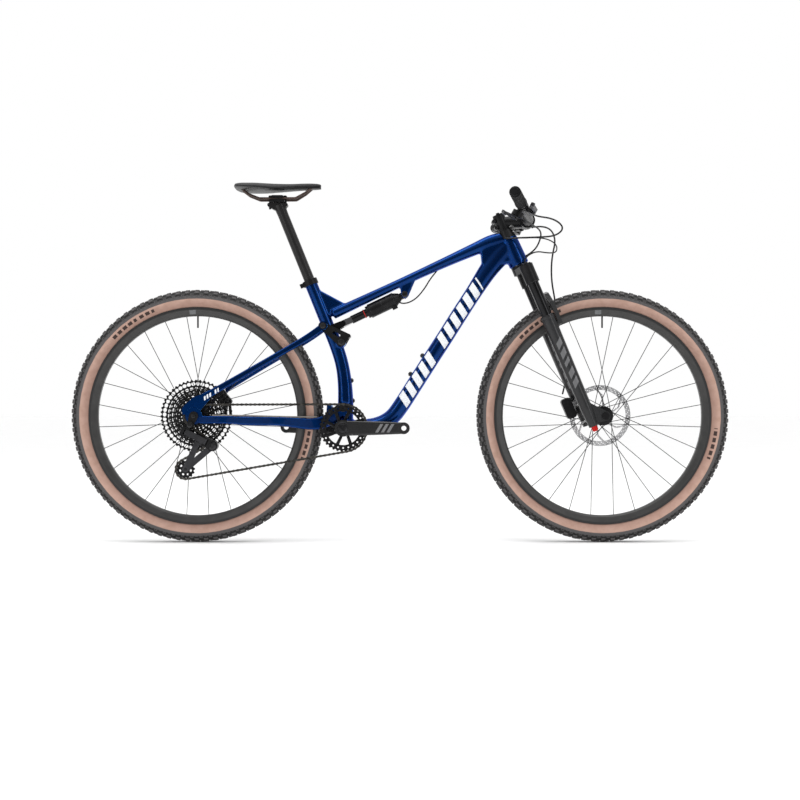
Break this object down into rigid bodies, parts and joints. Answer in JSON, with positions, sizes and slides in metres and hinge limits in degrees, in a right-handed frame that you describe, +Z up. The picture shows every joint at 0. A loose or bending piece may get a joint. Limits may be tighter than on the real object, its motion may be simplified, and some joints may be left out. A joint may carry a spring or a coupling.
{
  "type": "mountain bike",
  "caption": "Full-suspension cross-country mountain bike with a telescopic fork, a rocker-driven rear shock, disc brakes and a single-ring drivetrain.",
  "frame": {"origin": "on the ground, midway between the two tyre contact points", "axes": "+X forwards, +Y to the rider's left, +Z up"},
  "size_m": [1.9188, 0.771, 1.0481],
  "materials": {
    "main_frame": "gloss",
    "headset_bearings": "satin",
    "seat_collar": "satin",
    "bottom_bracket_cups": "satin",
    "frame_bolts": "satin",
    "rear_control_lines": "satin",
    "chain": "satin",
    "fork_crown": "satin",
    "stanchions": "gloss",
    "stem": "satin",
    "stem_faceplate": "satin",
    "handlebar": "satin",
    "grips": "matte",
    "headset_spacers": "satin",
    "lever_bodies": "satin",
    "control_pods": "satin",
    "front_control_lines": "satin",
    "fork_lowers": "satin",
    "front_caliper": "satin",
    "front_thru_axle": "satin",
    "rebound_knob": "satin",
    "front_tyre": "matte",
    "front_rim": "satin",
    "front_spokes": "satin",
    "front_hub": "satin",
    "front_rotor": "satin",
    "right_brake_blade": "satin",
    "left_brake_blade": "satin",
    "shift_paddle_large": "satin",
    "shift_paddle_small": "satin",
    "lockout_lever": "satin",
    "chainstays": "gloss",
    "chainstay_guard": "matte",
    "derailleur_hanger": "satin",
    "rear_caliper": "satin",
    "rear_thru_axle": "satin",
    "derailleur_b_knuckle": "satin",
    "seatstays": "gloss",
    "rocker_link": "satin",
    "shock_can": "satin",
    "shock_shaft": "gloss",
    "rear_tyre": "matte",
    "rear_rim": "satin",
    "rear_spokes": "satin",
    "rear_hub": "satin",
    "rear_rotor": "satin",
    "cassette": "satin",
    "crank_right_arm": "satin",
    "crank_left_arm": "satin",
    "chainring": "satin",
    "derailleur_outer_link": "satin",
    "derailleur_inner_link": "satin",
    "derailleur_p_knuckle": "satin",
    "derailleur_cage": "satin",
    "guide_pulley": "matte",
    "tension_pulley": "matte",
    "seatpost": "satin",
    "rail_clamp": "satin",
    "saddle_rails": "satin",
    "saddle": "matte"
  },
  "bodies": {
    "frame": {"main_frame": "main_frame", "headset_bearings": "headset_bearings", "seat_collar": "seat_collar", "bottom_bracket_cups": "bottom_bracket_cups", "frame_bolts": "frame_bolts", "rear_control_lines": "rear_control_lines", "chain": "chain"},
    "steering": {"fork_crown": "fork_crown", "stanchions": "stanchions", "stem": "stem", "stem_faceplate": "stem_faceplate", "handlebar": "handlebar", "grips": "grips", "headset_spacers": "headset_spacers", "lever_bodies": "lever_bodies", "control_pods": "control_pods", "front_control_lines": "front_control_lines"},
    "fork_lower": {"fork_lowers": "fork_lowers", "front_caliper": "front_caliper", "front_thru_axle": "front_thru_axle"},
    "rebound_knob": {"rebound_knob": "rebound_knob"},
    "front_wheel": {"front_tyre": "front_tyre", "front_rim": "front_rim", "front_spokes": "front_spokes", "front_hub": "front_hub", "front_rotor": "front_rotor"},
    "right_brake_blade": {"right_brake_blade": "right_brake_blade"},
    "left_brake_blade": {"left_brake_blade": "left_brake_blade"},
    "shift_paddle_large": {"shift_paddle_large": "shift_paddle_large"},
    "shift_paddle_small": {"shift_paddle_small": "shift_paddle_small"},
    "lockout_lever": {"lockout_lever": "lockout_lever"},
    "swingarm": {"chainstays": "chainstays", "chainstay_guard": "chainstay_guard", "derailleur_hanger": "derailleur_hanger", "rear_caliper": "rear_caliper", "rear_thru_axle": "rear_thru_axle", "derailleur_b_knuckle": "derailleur_b_knuckle"},
    "seatstays": {"seatstays": "seatstays"},
    "rocker": {"rocker_link": "rocker_link"},
    "shock_can": {"shock_can": "shock_can"},
    "shock_shaft": {"shock_shaft": "shock_shaft"},
    "rear_wheel": {"rear_tyre": "rear_tyre", "rear_rim": "rear_rim", "rear_spokes": "rear_spokes", "rear_hub": "rear_hub", "rear_rotor": "rear_rotor"},
    "cassette": {"cassette": "cassette"},
    "cranks": {"crank_right_arm": "crank_right_arm", "crank_left_arm": "crank_left_arm", "chainring": "chainring"},
    "outer_link": {"derailleur_outer_link": "derailleur_outer_link"},
    "inner_link": {"derailleur_inner_link": "derailleur_inner_link"},
    "p_knuckle": {"derailleur_p_knuckle": "derailleur_p_knuckle"},
    "cage": {"derailleur_cage": "derailleur_cage"},
    "guide_pulley": {"guide_pulley": "guide_pulley"},
    "tension_pulley": {"tension_pulley": "tension_pulley"},
    "seat": {"seatpost": "seatpost", "rail_clamp": "rail_clamp", "saddle_rails": "saddle_rails", "saddle": "saddle"}
  },
  "joints": [
    {"name": "steer", "type": "hinge", "parent": "frame", "child": "steering", "pos_m": [0.34919, 0, 0.80832], "axis": [-0.3907, 0, 0.9205], "range_deg": [-60, 60], "deforming": ["rear_control_lines"]},
    {"name": "fork_slide", "type": "slide", "parent": "steering", "child": "fork_lower", "axis": [-0.3907, 0, 0.9205], "range_m": [0, 0.1], "stiffness_N_per_m": 4000, "deforming": ["front_control_lines"]},
    {"name": "front_wheel_spin", "type": "hinge", "parent": "fork_lower", "child": "front_wheel", "pos_m": [0.5915, 0, 0.368], "axis": [0, 1, 0], "continuous": true},
    {"name": "rebound_knob_turn", "type": "hinge", "parent": "fork_lower", "child": "rebound_knob", "pos_m": [0.56065, -0.065, 0.33318], "axis": [-0.3907, 0, 0.9205], "range_deg": [0, 270]},
    {"name": "right_brake_pull", "type": "hinge", "parent": "steering", "child": "right_brake_blade", "pos_m": [0.36864, -0.2277, 0.93583], "axis": [-0.4998, 0.0288, -0.8657], "range_deg": [0, 12], "stiffness_Nm_per_rad": 0.8},
    {"name": "left_brake_pull", "type": "hinge", "parent": "steering", "child": "left_brake_blade", "pos_m": [0.36864, 0.2277, 0.93583], "axis": [0.4998, 0.0288, 0.8657], "range_deg": [0, 12], "stiffness_Nm_per_rad": 0.8},
    {"name": "shift_large_push", "type": "hinge", "parent": "steering", "child": "shift_paddle_large", "pos_m": [0.32067, -0.22921, 0.91958], "axis": [-0.4998, 0.0288, -0.8657], "range_deg": [0, 35], "stiffness_Nm_per_rad": 0.4},
    {"name": "shift_small_push", "type": "hinge", "parent": "steering", "child": "shift_paddle_small", "pos_m": [0.32067, -0.22921, 0.91958], "axis": [-0.4998, 0.0288, -0.8657], "range_deg": [0, 20], "stiffness_Nm_per_rad": 0.4},
    {"name": "lockout_push", "type": "hinge", "parent": "steering", "child": "lockout_lever", "pos_m": [0.32067, 0.22921, 0.91958], "axis": [0.4998, 0.0288, 0.8657], "range_deg": [0, 30], "stiffness_Nm_per_rad": 0.4},
    {"name": "rear_swing", "type": "hinge", "parent": "frame", "child": "swingarm", "pos_m": [-0.1646, 0, 0.3903], "axis": [0, 1, 0], "range_deg": [0, 13.5], "stiffness_Nm_per_rad": 200},
    {"name": "stay_flex", "type": "hinge", "parent": "swingarm", "child": "seatstays", "pos_m": [-0.5915, 0, 0.368], "axis": [0, 1, 0], "range_deg": [-3, 0]},
    {"name": "rocker_turn", "type": "hinge", "parent": "frame", "child": "rocker", "pos_m": [-0.1704, 0, 0.5822], "axis": [0, 1, 0], "range_deg": [0, 46]},
    {"name": "shock_turn", "type": "hinge", "parent": "frame", "child": "shock_can", "pos_m": [0.0138, 0, 0.7223], "axis": [0, 1, 0], "range_deg": [0, 0.2]},
    {"name": "shock_stroke", "type": "slide", "parent": "shock_can", "child": "shock_shaft", "axis": [0.9026, 0, 0.4304], "range_m": [0, 0.039]},
    {"name": "rear_wheel_spin", "type": "hinge", "parent": "swingarm", "child": "rear_wheel", "pos_m": [-0.5915, 0, 0.368], "axis": [0, 1, 0], "continuous": true},
    {"name": "cassette_spin", "type": "hinge", "parent": "swingarm", "child": "cassette", "pos_m": [-0.5915, 0, 0.368], "axis": [0, 1, 0], "continuous": true},
    {"name": "crank_spin", "type": "hinge", "parent": "frame", "child": "cranks", "pos_m": [-0.164, 0, 0.333], "axis": [0, 1, 0], "continuous": true, "deforming": ["chain"]},
    {"name": "outer_link_turn", "type": "hinge", "parent": "swingarm", "child": "outer_link", "pos_m": [-0.612, -0.093, 0.322], "axis": [0.4478, 0, 0.8942], "range_deg": [-10, 27]},
    {"name": "inner_link_turn", "type": "hinge", "parent": "swingarm", "child": "inner_link", "pos_m": [-0.612, -0.075, 0.322], "axis": [0.4478, 0, 0.8942], "range_deg": [-10, 27]},
    {"name": "p_knuckle_turn", "type": "hinge", "parent": "outer_link", "child": "p_knuckle", "pos_m": [-0.55656, -0.093, 0.29424], "axis": [0.4478, 0, 0.8942], "range_deg": [-27, 10]},
    {"name": "cage_turn", "type": "hinge", "parent": "p_knuckle", "child": "cage", "pos_m": [-0.538, -0.07, 0.283], "axis": [0, -1, 0], "range_deg": [-28, 76]},
    {"name": "guide_pulley_spin", "type": "hinge", "parent": "cage", "child": "guide_pulley", "pos_m": [-0.583, -0.0565, 0.294], "axis": [0, 1, 0], "continuous": true},
    {"name": "tension_pulley_spin", "type": "hinge", "parent": "cage", "child": "tension_pulley", "pos_m": [-0.619, -0.0565, 0.214], "axis": [0, 1, 0], "continuous": true},
    {"name": "seatpost_height", "type": "slide", "parent": "frame", "child": "seat", "axis": [-0.3746, 0, 0.9272], "range_m": [-0.05, 0.02]}
  ],
  "couplings": [
    {"joint": "stay_flex", "follows": "rear_swing", "ratio": -0.2083},
    {"joint": "rocker_turn", "follows": "rear_swing", "ratio": 3.368},
    {"joint": "shock_turn", "follows": "rear_swing", "ratio": 0.00834},
    {"joint": "shock_stroke", "follows": "rear_swing", "m_per_rad": 0.16388},
    {"joint": "cassette_spin", "follows": "crank_spin", "ratio": 2.125},
    {"joint": "guide_pulley_spin", "follows": "crank_spin", "ratio": -2.8333},
    {"joint": "tension_pulley_spin", "follows": "crank_spin", "ratio": 2.4286},
    {"joint": "inner_link_turn", "follows": "outer_link_turn", "ratio": 1},
    {"joint": "p_knuckle_turn", "follows": "outer_link_turn", "ratio": -1},
    {"joint": "cage_turn", "follows": "outer_link_turn", "ratio": 2.8}
  ]
}
